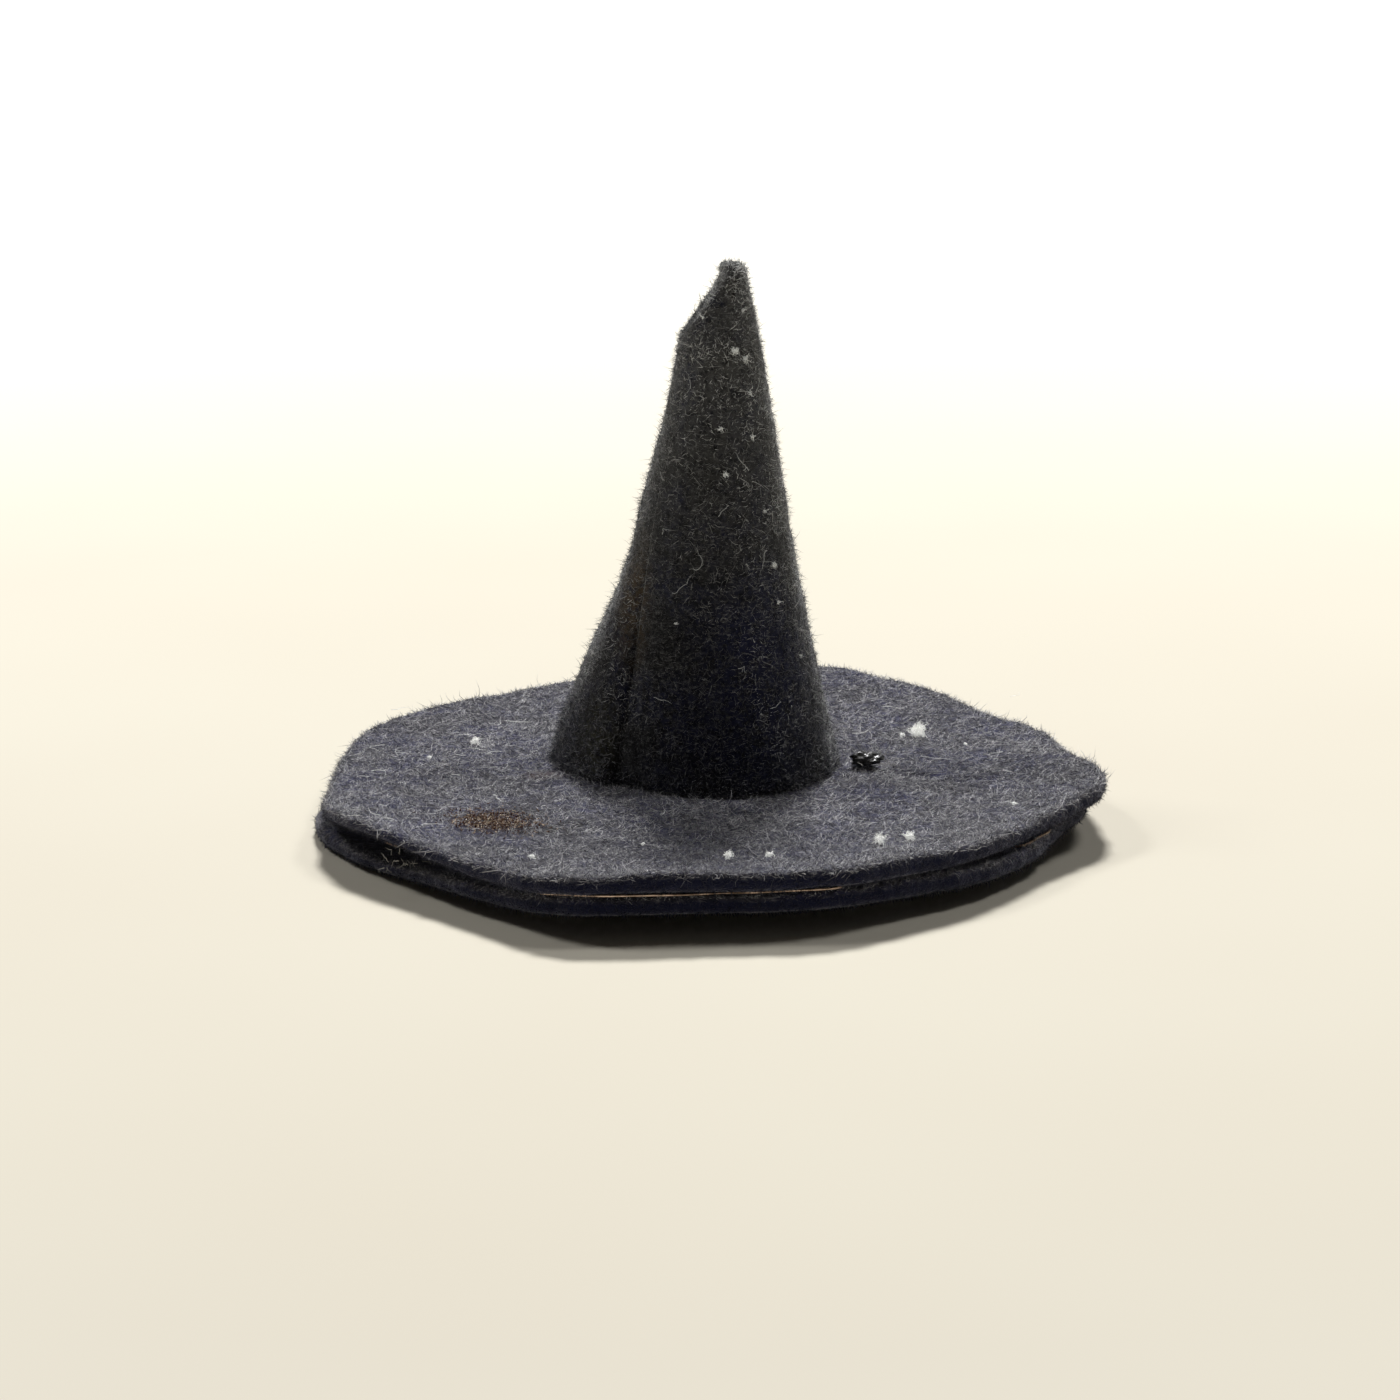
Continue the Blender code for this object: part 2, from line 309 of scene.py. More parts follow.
def makeDisc(name, node, finish, seed):
    turn = np.linspace(0, 2 * pi, brim["columns"], endpoint=False)
    rimRadius = roundBrim(rims[node][0], turn)
    onRim = np.stack([rimRadius * np.cos(turn), rimRadius * np.sin(turn), np.zeros_like(turn)], -1)
    rimRadius = rimRadius + relief(onRim, brim["ragged"], seed)
    share = rowShares(brim["rows"])
    radius = brim["hole"] + share[:, None] * (rimRadius[None] - brim["hole"])
    angle = np.broadcast_to(turn, radius.shape)
    x = axis[0] + radius * np.cos(angle)
    y = axis[1] + radius * np.sin(angle)
    rounding = roundedShare(rimRadius[None] - radius, brim["edgeRound"])
    rounding = rounding * roundedShare(radius - brim["hole"], brim["edgeRound"])
    # the felt swells towards the edge, so the two layers almost meet there
    swell = brim["swell"] * smooth((radius - brim["swellFrom"]) / brim["swellOver"])
    swell = swell * (1 - brim["gape"] * bumpAt(angle, *brim["mouth"]))
    low = discHeight(node, radius, angle)
    high = low + brim["felt"]
    if node == "brim_top":
        low = low - swell
        high = high - creaseAt(x, y)
    else:
        high = high + swell
    dents = relief(np.stack([x, y, low], -1), brim["relief"], seed + 40)
    dents = dents * smooth((radius - brim["dentsFrom"]) / brim["dentsOver"])
    middle = (low + high) / 2
    top = middle + (high - middle) * rounding + dents
    bottom = np.maximum(middle + (low - middle) * rounding + dents * 0.3, brim["lowest"])
    points = np.concatenate([np.stack([x, y, z], -1)[::-1] for z in (top, bottom)])
    faces = sheetFaces(brim["rows"], brim["columns"], True)
    piece = makePiece(name, points, faces, finish, node)
    area = float(0.5 * np.sum(rimRadius ** 2) * (turn[1] - turn[0]) - pi * brim["hole"] ** 2)
    return piece


# Crown

crown = {
    "footRadius": crownHigh.x - axis[0], "taper": 0.199, "height": 48.6 * mm, "felt": 1.4 * mm,
    # the flap: turn of its tucked edge, how far it laps at the foot, and how its foot flares
    "seam": 219, "lap": 36, "lapHeight": 14 * mm, "spareLap": 3 * mm,
    "flare": 4.4 * mm, "flareHeight": 22 * mm, "flareTurns": (145, 103),
    "tuck": 0.1 * mm, "tuckTurn": 68, "glued": 0.2 * mm, "pressTurns": (46, 42),
    "stepFade": (9 * mm, 15 * mm), "bevel": 4.6 * mm, "bevelFade": (14 * mm, 12 * mm),
    "footGap": 0.04 * mm, "footRound": 0.5 * mm, "tipRound": 0.7 * mm,
    "cutFrom": np.array([1.2, 48.4]) * mm, "cutSlant": 52, "columns": 300, "rows": 160,
    "relief": [(8 * mm, 0.22 * mm), (2.4 * mm, 0.1 * mm), (0.8 * mm, 0.05 * mm)],
    "tipRagged": [(1.6 * mm, 0.28 * mm), (0.6 * mm, 0.16 * mm)],
    "footWave": [(5 * mm, 0.45 * mm), (1.5 * mm, 0.25 * mm)],
    "sway": 0.65 * mm,
}
brimTop = crownLow.z - 0.3 * mm


def coneRadius(height):
    return crown["footRadius"] - crown["taper"] * height


def flareAt(height):
    return crown["flare"] * np.clip(1 - height / crown["flareHeight"], 0, 1.1) ** 1.2


def tuckedRadius(turn, height):
    press = crown["tuck"] * np.minimum(1, 5 * flareAt(height) / crown["flare"])
    return coneRadius(height) - press * (1 - smooth((turn - crown["seam"]) / crown["tuckTurn"]))


def crownRadius(turn, height):
    # the flap ends a full turn after the edge that is tucked under it, and is pressed down on it
    edge = crown["seam"] + 360
    before, over = crown["flareTurns"]
    free = tuckedRadius(turn, height) + flareAt(height) * smooth((turn - edge + before) / over)
    start, over = crown["stepFade"]
    step = (0.95 * crown["felt"] + crown["glued"]) * (1 - smooth((height - start) / over))
    pressed = tuckedRadius(turn - 360, height) + step
    before, over = crown["pressTurns"]
    return free + (pressed - free) * smooth((turn - edge + before) / over)


def crownTop(turn):
    # height of the slanted tip cut at each turn, found by a few steps towards it
    height = np.full_like(turn, crown["height"])
    for _ in range(12):
        across = coneRadius(height) * np.cos(np.radians(turn))
        cut = crown["cutFrom"][1] + (across - crown["cutFrom"][0]) * np.tan(radians(crown["cutSlant"]))
        height = 0.5 * height + 0.5 * np.minimum(crown["height"], cut)
    return height


def crownSway(height):
    # the crown bends a little to its left below its middle
    return -crown["sway"] * smooth((36 * mm - height) / (12 * mm)) * smooth((height + 2 * mm) / (8 * mm))


def crownPoint(turn, radius, height):
    angle = np.radians(turn)
    x = axis[0] + crownSway(height) + radius * np.cos(angle)
    z = np.broadcast_to(brimTop + height, np.shape(radius))
    return np.stack([np.broadcast_to(x, z.shape), axis[1] + radius * np.sin(angle), z], -1)


def makeCrown(name, finish):
    felt, foot, lap = crown["felt"], crown["footGap"], crown["lap"]
    steps = np.linspace(0, 1, crown["rows"])
    share = (steps - 0.06 * np.sin(2 * pi * steps) / (2 * pi))[:, None]
    columnShare = np.linspace(0, 1, crown["columns"])[None]
    top = crownTop(crown["seam"] + 360 * columnShare)
    height = foot + share * (top - foot)
    lapHere = lap * np.clip(1 - height / crown["lapHeight"], 0, 1)
    turn = crown["seam"] - lapHere + (360 + lapHere) * columnShare
    radius = crownRadius(turn, height)
    plain = crownPoint(turn, radius, height)
    height = height + relief(plain, crown["tipRagged"], 7) * smooth((share - 0.93) / 0.07)
    dents = relief(plain, crown["relief"], 11) * smooth(coneRadius(height) / (6 * mm))
    footWave = relief(plain, crown["footWave"], 19) * (1 - smooth(height / (3 * mm)))
    # the flap's free edge is felted down to almost nothing, so it shows only as a soft ridge
    toEnd = (1 - columnShare) * 2 * pi * coneRadius(height)
    start, over = crown["bevelFade"]
    lower = 1 - smooth((height - start) / over)
    sideRound = 1 - (1 - roundedShare(toEnd, crown["bevel"])) * lower
    endRound = roundedShare(height - foot, crown["footRound"]) * roundedShare(top - height, crown["tipRound"])
    outerRadius = radius + dents + footWave - felt / 2 * (1 - endRound) - 1.06 * felt * (1 - sideRound)
    innerRadius = outerRadius - felt * sideRound * endRound
    # the felt is rolled tight at the tip, so its inner side closes up
    innerRadius = np.maximum(innerRadius - felt * smooth((height - 34 * mm) / (10 * mm)), 0.15 * mm)
    outer = crownPoint(turn, outerRadius, height)
    inner = crownPoint(turn, np.minimum(innerRadius, outerRadius - 0.1 * mm), height)
    faces = sheetFaces(crown["rows"], crown["columns"], False)
    piece = makePiece(name, np.concatenate([outer, inner]), faces, finish, "crown")
    # the flat cut is a ring sector, measured along the cone
    slope = np.hypot(1, crown["taper"]) / crown["taper"]
    outerCut, innerCut = crown["footRadius"] * slope, coneRadius(crown["height"]) * slope
    span = (2 * pi * crown["footRadius"] * (1 + lap / 360) + crown["spareLap"]) / outerCut
    flat = (2 * outerCut * sin(span / 2), outerCut - innerCut * cos(span / 2))
    float(span * (outerCut ** 2 - innerCut ** 2) / 2)
    return piece


# Fibres

def strandMesh(name, paths, widths, shades, finish):
    # tapered three-sided strands along paths of equal point counts, closed at both ends
    count, steps = paths.shape[:2]
    rings = steps - 1
    paths[..., 2] = np.maximum(paths[..., 2], tableGap)
    ahead = np.gradient(paths, axis=1)
    ahead /= np.linalg.norm(ahead, axis=2, keepdims=True) + 1e-12
    whole = paths[:, -1] - paths[:, 0]
    upright = np.abs(whole[:, 2:]) > 0.8 * np.linalg.norm(whole, axis=1, keepdims=True)
    helper = np.where(upright, [[1, 0.2, 0]], [[0.1, 0, 1]])[:, None]
    side = np.cross(ahead, helper)
    side /= np.linalg.norm(side, axis=2, keepdims=True) + 1e-12
    other = np.cross(ahead, side)
    points = np.empty((count, rings * 3 + 1, 3))
    for ring in range(rings):
        reach = (widths * (1 - ring / steps) ** 0.6 / 2)[:, None]
        for corner in range(3):
            angle = 2 * pi * corner / 3
            across = side[:, ring] * cos(angle) + other[:, ring] * sin(angle)
            points[:, ring * 3 + corner] = paths[:, ring] + across * reach
    points[:, -1] = paths[:, -1]
    start = np.arange(count)[:, None] * (rings * 3 + 1)
    quads = [[ring * 3 + k, ring * 3 + (k + 1) % 3, ring * 3 + 3 + (k + 1) % 3, ring * 3 + 3 + k]
             for ring in range(rings - 1) for k in range(3)]
    last = (rings - 1) * 3
    ends = [[last + k, last + (k + 1) % 3, rings * 3] for k in range(3)] + [[2, 1, 0]]
    faces = (start[:, None] + np.array(quads)[None]).reshape(-1, 4).tolist()
    faces += (start[:, None] + np.array(ends)[None]).reshape(-1, 3).tolist()
    piece = makePiece(name, points, faces, finish)
    shade = piece.data.attributes.new("shade", "FLOAT", "POINT")
    shade.data.foreach_set("value", np.repeat(shades, rings * 3 + 1).astype(np.float32))
    return piece


def pickSpots(piece, count, rng, weigh):
    # random points on a piece with their normals, denser where weigh says so
    mesh = piece.data
    mesh.calc_loop_triangles()
    points = np.empty(len(mesh.vertices) * 3)
    mesh.vertices.foreach_get("co", points)
    corners = np.empty(len(mesh.loop_triangles) * 3, int)
    mesh.loop_triangles.foreach_get("vertices", corners)
    a, b, c = points.reshape(-1, 3)[corners].reshape(-1, 3, 3).transpose(1, 0, 2)
    normal = np.cross(b - a, c - a)
    size = np.linalg.norm(normal, axis=1) + 1e-15
    normal /= size[:, None]
    share = size * weigh((a + b + c) / 3, normal)
    chosen = rng.choice(len(share), count, p=share / share.sum())
    u, v = rng.random((2, count, 1))
    u, v = np.where(u + v > 1, 1 - u, u), np.where(u + v > 1, 1 - v, v)
    a, b, c = a[chosen], b[chosen], c[chosen]
    return a + u * (b - a) + v * (c - a), normal[chosen]


def fromAxis(points):
    return np.hypot(points[:, 0] - axis[0], points[:, 1] - axis[1])


def rimDistance(points, node):
    angle = np.arctan2(points[:, 1] - axis[1], points[:, 0] - axis[0])
    return roundBrim(rims[node][0], angle) - fromAxis(points)


def between(rng, count, low, high, power=1.0):
    return low + (high - low) * rng.random(count) ** power


def fuzz(piece, look, weigh, finish, tint=None):
    # hairs that stand off or lie on a felt piece, as its look says
    rng = np.random.default_rng(look["seed"])
    count = look["count"]
    roots, normals = pickSpots(piece, count, rng, weigh)
    # they tend to lie level, along the felt
    level = np.cross([0, 0, 1], normals)
    steep = np.linalg.norm(level, axis=1, keepdims=True)
    level = np.where(steep > 0.5, level / (steep + 1e-9), [[1, 0.1, 0]])
    aims = rng.normal(size=(count, 3)) * look["lean"]
    aims += level * (look["flow"] * rng.choice([-1, 1], count))[:, None]
    aims += normals * (look["stand"] * (0.5 + rng.random(count)) - np.sum(aims * normals, 1))[:, None]
    aims /= np.linalg.norm(aims, axis=1, keepdims=True)
    bends = rng.normal(size=(count, 3)) * look["bend"]
    into = np.minimum(0, np.sum((aims + bends) * normals, 1) - 0.02)
    bends -= normals * into[:, None]
    reach = np.maximum(np.linalg.norm(aims + bends, axis=1), 0.7)
    lengths = (between(rng, count, *look["length"], 1.7) * mm / reach)[:, None, None]
    widths = between(rng, count, *look["width"]) * mm
    t = np.linspace(0, 1, look["rings"] + 1)[None, :, None]
    paths = (roots - normals * 0.05 * mm)[:, None] + lengths * (aims[:, None] * t + bends[:, None] * t * t)
    shades = rng.random(count) ** look["dark"]
    if tint is not None:
        shades = shades * tint(roots, normals)
    return strandMesh(look["name"], paths, widths, shades, finish)


# Materials

def feltFinish(name, look):
    finish = Finish(name, {"Roughness": 0.95, "Specular IOR Level": 0.1, "Sheen Weight": look["sheen"],
                           "Sheen Roughness": look["sheenRough"], "Sheen Tint": (*look["sheenTint"], 1)})
    shift = finish.add("VectorMath", {"operation": "ADD"}, {0: finish.place(), 1: (look["seed"],) * 3})
    clouds = finish.range(finish.noise(6 * mm, 3, 0.6, shift), 0.42, 0.6)
    warmth = finish.range(finish.noise(9 * mm, 3, 0.6, shift), 0.56, 0.7)
    fibres = finish.noise(0.3 * mm, 4, 0.7, finish.stretched(look["streak"], 0.1))
    matted = finish.noise(0.8 * mm, 4, 0.65)
    colour = finish.mix(clouds, (*look["plain"], 1), (*look["blue"], 1))
    colour = finish.mix(warmth * 0.5, colour, (*look["olive"], 1))
    colour = finish.mix(finish.range(fibres, 0.52, 0.7) * 0.8, colour, (*look["worn"], 1))
    # painted shade in the hollows between matted fibres
    shadow = [v * 0.3 for v in look["plain"]]
    colour = finish.mix(finish.range(matted, 0.56, 0.4) * 0.85, colour, (*shadow, 1))
    # each patch is a real mark on the felt or a painted patch of light or shade
    for spot, reach, stain, strength in look["stainsAndPaintedLight"]:
        where = tuple(v * mm for v in spot)
        patch = finish.range(finish.noise(0.7 * mm, 3, 0.65), 0.34, 0.54)
        blotch = finish.near(where, tuple(v * mm for v in reach)) * patch
        colour = finish.mix(blotch * strength, colour, (*stain, 1))
    # painted shade: faces that turn sideways and down take the darker cut colour, as they lie in shade, while
    # the top keeps the felt's own colour
    upward = finish.add("SeparateXYZ", None, {"Vector": finish.add("NewGeometry", output=1)}, 2)
    worn = finish.range(upward, 0.1, 0.75, (look["sides"], 1.0))
    finish.drive("Base Color", finish.mix(worn, (*look["cut"], 1), colour))
    height = fibres * 0.6 + matted * 0.7 + finish.noise(0.16 * mm, 2) * 0.35
    finish.bump(height, 0.22 * mm, 0.9)
    return finish


def hairFinish(name, low, high, sheen=0.0, rough=0.45, glow=0.0):
    # single hairs, each a shade of its own; lint gets a painted glow, which stands in for the light that gets
    # through its loose fibres
    finish = Finish(name, {"Roughness": rough, "Specular IOR Level": 0.5, "Sheen Weight": sheen,
                           "Sheen Roughness": 0.4})
    if glow:
        finish.shader.inputs["Emission Color"].default_value = (1, 1, 0.96, 1)
        finish.shader.inputs["Emission Strength"].default_value = glow
    shade = finish.add("Attribute", {"attribute_name": "shade"}, None, 2)
    speck = finish.range(finish.noise(0.4 * mm, 2), 0.3, 0.7)
    finish.drive("Base Color", finish.mix((shade * (speck * 0.6 + 0.7)).clamped(), (*low, 1), (*high, 1)))
    return finish


def copperFinish():
    finish = Finish("copperWire", {"Metallic": 1.0, "Roughness": 0.3})
    tarnish = finish.range(finish.noise(1.6 * mm, 4, 0.6), 0.4, 0.62)
    finish.drive("Base Color", finish.mix(tarnish, (0.75, 0.56, 0.44, 1), (0.2, 0.14, 0.1, 1)))
    finish.drive("Roughness", finish.range(finish.noise(0.5 * mm, 3), 0.3, 0.7, (0.22, 0.45)))
    finish.bump(finish.noise(0.2 * mm, 3), 0.01 * mm)
    return finish


def glueFinish(name, low, high):
    finish = Finish(name, {"Roughness": 0.25, "Specular IOR Level": 0.6, "Coat Weight": 0.3,
                           "Coat Roughness": 0.15})
    cloud = finish.range(finish.noise(0.9 * mm, 4, 0.6), 0.35, 0.65)
    finish.drive("Base Color", finish.mix(cloud, (*low, 1), (*high, 1)))
    finish.drive("Roughness", finish.range(finish.noise(0.4 * mm, 3), 0.3, 0.7, (0.15, 0.5)))
    finish.bump(finish.noise(0.35 * mm, 4), 0.08 * mm)
    return finish


# each patch is (place, reach along each axis, colour, strength), in millimetres; most are real marks on the
# felt, and those marked are painted light or shade
brimLook = {
    "plain": (0.075, 0.073, 0.088), "blue": (0.046, 0.048, 0.11), "olive": (0.1, 0.096, 0.075),
    "worn": (0.6, 0.59, 0.62), "streak": (0.3, 1, 1), "seed": 0.01,
    # cut and sides give the painted shade on the discs' sides and undersides
    "cut": (0.008, 0.010, 0.032), "sides": 0.06,
    "sheen": 0.8, "sheenRough": 0.35, "sheenTint": (0.85, 0.85, 0.95),
    "stainsAndPaintedLight": [
        ((-19.8, -16.2, 4.6), (6.2, 5.0, 3), (0.018, 0.008, 0.006), 1.0),
        ((-13.2, -17.2, 4.4), (5.4, 3.6, 3), (0.028, 0.026, 0.017), 0.85),
        ((-15.8, -0.5, 3.8), (2.6, 1.8, 2), (0.1, 0.06, 0.04), 0.8),
        ((-27, -21, 4), (9, 7, 3), (0.035, 0.04, 0.14), 0.7),
        ((2, -33, 5), (14, 3.5, 3), (0.035, 0.04, 0.13), 0.7),
        # painted shadow of the crown on the front of the brim
        ((-1, -27, 4.5), (20, 15, 5), (0.032, 0.033, 0.045), 0.6),
    ],
}
crownLook = {
    "plain": (0.022, 0.022, 0.023), "blue": (0.018, 0.02, 0.042), "olive": (0.04, 0.038, 0.026),
    "worn": (0.22, 0.22, 0.22), "streak": (0.6, 0.6, 1), "seed": 0.03,
    "cut": (0.02, 0.02, 0.02), "sides": 1.0,
    "sheen": 0.7, "sheenRough": 0.35, "sheenTint": (0.95, 0.95, 0.95),
    "stainsAndPaintedLight": [
        # painted light: the felt is paler towards the crown's tip
        ((0, 4, 56), (30, 30, 40), (0.12, 0.12, 0.118), 0.6),
        ((-7.0, 0, 20.5), (2.4, 4, 10), (0.085, 0.062, 0.038), 0.9),
        ((-11.5, -3, 8.5), (3.8, 5, 6), (0.06, 0.058, 0.034), 0.8),
        ((5, -6, 14), (9, 9, 13), (0.018, 0.022, 0.065), 0.6),
    ],
}
brimFelt = feltFinish("brimFelt", brimLook)
crownFelt = feltFinish("crownFelt", crownLook)
brimHair = hairFinish("brimHair", (0.1, 0.097, 0.12), (1.0, 0.98, 1.0), 0.5)
edgeHair = hairFinish("edgeHair", (0.012, 0.014, 0.038), (0.75, 0.75, 0.78))
crownHair = hairFinish("crownHair", (0.03, 0.03, 0.033), (1.0, 1.0, 0.98), 0.5)
lintHair = hairFinish("whiteLint", (0.9, 0.9, 0.87), (0.99, 0.99, 0.95), 0.5, glow=0.28)
crownFleck = hairFinish("crownFleck", (0.6, 0.61, 0.59), (0.95, 0.95, 0.9), 0.5, glow=0.1)
copper = copperFinish()
clearGlue = glueFinish("clearGlue", (0.3, 0.27, 0.22), (0.5, 0.48, 0.43))
darkGlue = glueFinish("darkGlue", (0.008, 0.008, 0.008), (0.03, 0.028, 0.024))
shinyGlue = glueFinish("shinyGlue", (0.5, 0.48, 0.44), (0.8, 0.78, 0.74))
brownGlue = hairFinish("brownGlue", (0.07, 0.02, 0.01), (1.0, 0.8, 0.6), 0.0, 0.2)

print("felt discs")
brimLower = makeDisc("brimLower", "brim_bottom", brimFelt, 3)
brimUpper = makeDisc("brimUpper", "brim_top", brimFelt, 5)
print("crown")
crownPiece = makeCrown("crownRoll", crownFelt)

print("fibres")
stain = {"place": np.array([-19.8, -16.2]) * mm, "reach": np.array([3.6, 3.2]) * mm, "grains": 1300}


def topOfBrim(points, normals):
    # fewer hairs where glue has matted them down
    outside = fromAxis(points) > 11.2 * mm
    matted = np.exp(-(((points[:, :2] - stain["place"]) / stain["reach"]) ** 2).sum(1))
    return np.where((normals[:, 2] > 0.35) & outside, 1 - 0.85 * matted, 0.0)


def upperEdge(points, normals):
    return rimDistance(points, "brim_top") < 0.9 * mm


def lowerEdge(points, normals):
    return rimDistance(points, "brim_bottom") < 1.2 * mm


def outerCrown(points, normals):
    arm = points[:, :2] - axis[:2]
    facing = np.sum(arm * normals[:, :2], 1)
    return (facing > 0) | (points[:, 2] > brimTop + 42 * mm)


def tipOfCrown(points, normals):
    return (points[:, 2] > brimTop + 40 * mm) & outerCrown(points, normals)


def footOfCrown(points, normals):
    return (points[:, 2] < brimTop + 1.6 * mm) & outerCrown(points, normals)


def footCorner(points, normals):
    near = (points[:, 0] < axis[0] - 10.5 * mm) & (points[:, 2] < brimTop + 7 * mm)
    return near & outerCrown(points, normals)


def crownLightAndClumps(roots, normals):
    # the crown's hairs are painted paler towards its tip and on its right, as painted light, and paler at its
    # sides, as painted rim light; they also lie in random clumps
    high = smooth((roots[:, 2] - brimTop - 9 * mm) / (34 * mm))
    sides = smooth((roots[:, 0] - axis[0]) / (8 * mm)) + smooth((axis[0] - 6 * mm - roots[:, 0]) / (5 * mm))
    clumps = 0.85 + 1.2 * grain(roots * [1, 1, 0.6], 1.8 * mm, 61)
    right = smooth((roots[:, 0] - axis[0] + 3 * mm) / (6 * mm))
    return np.clip((0.3 + high * (0.6 + 1.3 * right) + 0.85 * sides) * clumps, 0.02, 2.6)


def patchesAndShadow(roots, normals):
    # the brim's hairs are darker in some random places, and darker still in a painted shadow in front of the
    # crown
    stretched = roots * [0.4, 1, 1]
    # painted shadow: the hairs in front of the crown are darker, where the crown's shadow falls
    crownShadow = np.exp(-((roots[:, 0] - axis[0] + 1 * mm) / (15 * mm)) ** 2)
    crownShadow = crownShadow * smooth((-14 * mm - roots[:, 1]) / (9 * mm))
    patches = 1.65 + 0.6 * grain(roots, 3.2 * mm, 71) + 0.9 * grain(stretched, 0.9 * mm, 72)
    return np.clip(patches * (1 - 0.55 * crownShadow), 0.1, 2.6)


# painted light: hairs on the cut edges are pale where they face up and dark on the shaded sides
def litFromAbove(roots, normals):
    return 0.02 + 0.9 * smooth((normals[:, 2] - 0.1) / 0.8)


# lengths and widths are the least and the most, in millimetres
nap = {
    "count": 19500, "rings": 2, "stand": 0.35, "lean": 0.4, "flow": 0.8,
    "bend": 0.5, "length": (0.25, 0.95), "width": (0.05, 0.09), "dark": 2.2,
}
lying = {
    **nap, "name": "brimStrands", "seed": 31, "count": 12300, "rings": 3, "stand": 0.08, "lean": 0.35,
    "flow": 1.0, "bend": 0.4, "length": (0.8, 2.3), "width": (0.045, 0.075), "dark": 2.4,
}
edgeNap = {
    **nap, "flow": 0.3, "stand": 0.5, "lean": 0.6, "bend": 0.9, "length": (0.25, 0.85),
    "width": (0.045, 0.07), "dark": 1.4,
}
crownNap = {
    **nap, "stand": 0.35, "lean": 0.55, "flow": 0.6, "bend": 0.5,
    "length": (0.25, 0.9), "width": (0.04, 0.075), "dark": 3.0,
}
crownLying = {
    **crownNap, "name": "crownStrands", "seed": 54, "count": 12300, "rings": 3, "stand": 0.05, "lean": 0.6,
    "bend": 0.6, "length": (0.5, 1.8), "width": (0.04, 0.06), "dark": 3.2,
}
short = {**crownNap, "stand": 0.7, "lean": 0.7, "flow": 0, "bend": 0.9}
tipFuzz = {**short, "name": "crownTipFuzz", "seed": 57, "count": 3000, "length": (0.3, 0.9)}
footFuzz = {**short, "name": "crownFootFuzz", "seed": 58, "count": 3600, "length": (0.2, 0.7)}
cornerFuzz = {**short, "name": "crownCornerFuzz", "seed": 55, "count": 2600, "length": (0.3, 1.0)}
# the few longer hairs that catch the eye against the light
wild = {"count": 110, "rings": 3, "length": (0.5, 1.3), "width": (0.035, 0.05), "bend": 1.2}
brimWild = {**edgeNap, **wild, "name": "brimWildHairs", "seed": 43}
crownWild = {**short, **wild, "name": "crownWildHairs", "seed": 56}

for part in range(3):
    look = {**nap, "name": "brimNap%d" % part, "seed": 21 + part}
    fuzz(brimUpper, look, topOfBrim, brimHair, patchesAndShadow)
fuzz(brimUpper, lying, topOfBrim, brimHair, patchesAndShadow)
upperFuzz = {**edgeNap, "name": "upperEdgeFuzz", "seed": 41}
fuzz(brimUpper, upperFuzz, upperEdge, edgeHair, litFromAbove)
lowerFuzz = {**edgeNap, "name": "lowerEdgeFuzz", "seed": 42}
fuzz(brimLower, lowerFuzz, lowerEdge, edgeHair, litFromAbove)
for part in range(2):
    look = {**crownNap, "name": "crownNap%d" % part, "seed": 51 + part}
    fuzz(crownPiece, look, outerCrown, crownHair, crownLightAndClumps)
fuzz(crownPiece, crownLying, outerCrown, crownHair, crownLightAndClumps)
fuzz(crownPiece, tipFuzz, tipOfCrown, crownHair, crownLightAndClumps)
fuzz(crownPiece, footFuzz, footOfCrown, edgeHair)
fuzz(crownPiece, cornerFuzz, footCorner, edgeHair)
fuzz(brimUpper, brimWild, upperEdge, edgeHair, litFromAbove)
fuzz(crownPiece, crownWild, outerCrown, crownHair)

print("wire")
wire = {
    "radius": 0.13 * mm, "sides": 10, "inset": 0.65 * mm, "hidden": 4 * mm, "pass": 0.9 * mm,
    "start": 150, "turn": 372, "steps": 420, "above": 0.5 * mm,
    # turns between which it shows, and how far it fades out at each end of them
    "shown": [(249, 284), (319, 325)], "fade": 5,
}


def wireShown(angle):
    # 1 where the wire has worked its way out to the edge
    turn = np.degrees(angle) % 360
    fade = wire["fade"]
    return sum(smooth((turn - low + fade) / fade) * smooth((high + fade - turn) / fade)
               for low, high in wire["shown"])


def makeWire():
    steps = np.linspace(0, 1, wire["steps"])
    angle = np.radians(wire["start"] + wire["turn"] * steps)
    # its two ends pass each other at the back
    inset = wire["inset"] + wire["hidden"] * (1 - wireShown(angle)) + wire["pass"] * (1 - smooth(steps * 13))
    radius = roundBrim(rims["brim_top"][0], angle) - inset
    radius = radius + 0.4 * mm * np.sin(angle * 17) + 0.2 * mm * np.sin(angle * 41)
    z = discHeight("brim_bottom", radius, angle) + brim["felt"] + wire["above"]
    z = z + 0.08 * mm * np.sin(angle * 13 + 1)
    path = np.stack([axis[0] + radius * np.cos(angle), axis[1] + radius * np.sin(angle), z], -1)
    sides = wire["sides"]
    ahead = np.gradient(path, axis=0)
    ahead /= np.linalg.norm(ahead, axis=1, keepdims=True)
    side = np.cross(ahead, [0, 0, 1])
    side /= np.linalg.norm(side, axis=1, keepdims=True)
    up = np.cross(side, ahead)
    corner = np.linspace(0, 2 * pi, sides, endpoint=False)
    ring = side[:, None] * np.cos(corner)[None, :, None] + up[:, None] * np.sin(corner)[None, :, None]
    points = path[:, None] + ring * wire["radius"]
    faces = []
    for start in range(0, (wire["steps"] - 1) * sides, sides):
        for k in range(sides):
            after = (k + 1) % sides
            faces.append((start + k, start + sides + k, start + sides + after, start + after))
    faces.append(tuple(range(sides)))
    faces.append(tuple(range((wire["steps"] - 1) * sides, wire["steps"] * sides))[::-1])
    return makePiece("brimWire", points, faces, copper, "brim_wire")


makeWire()

print("glue")


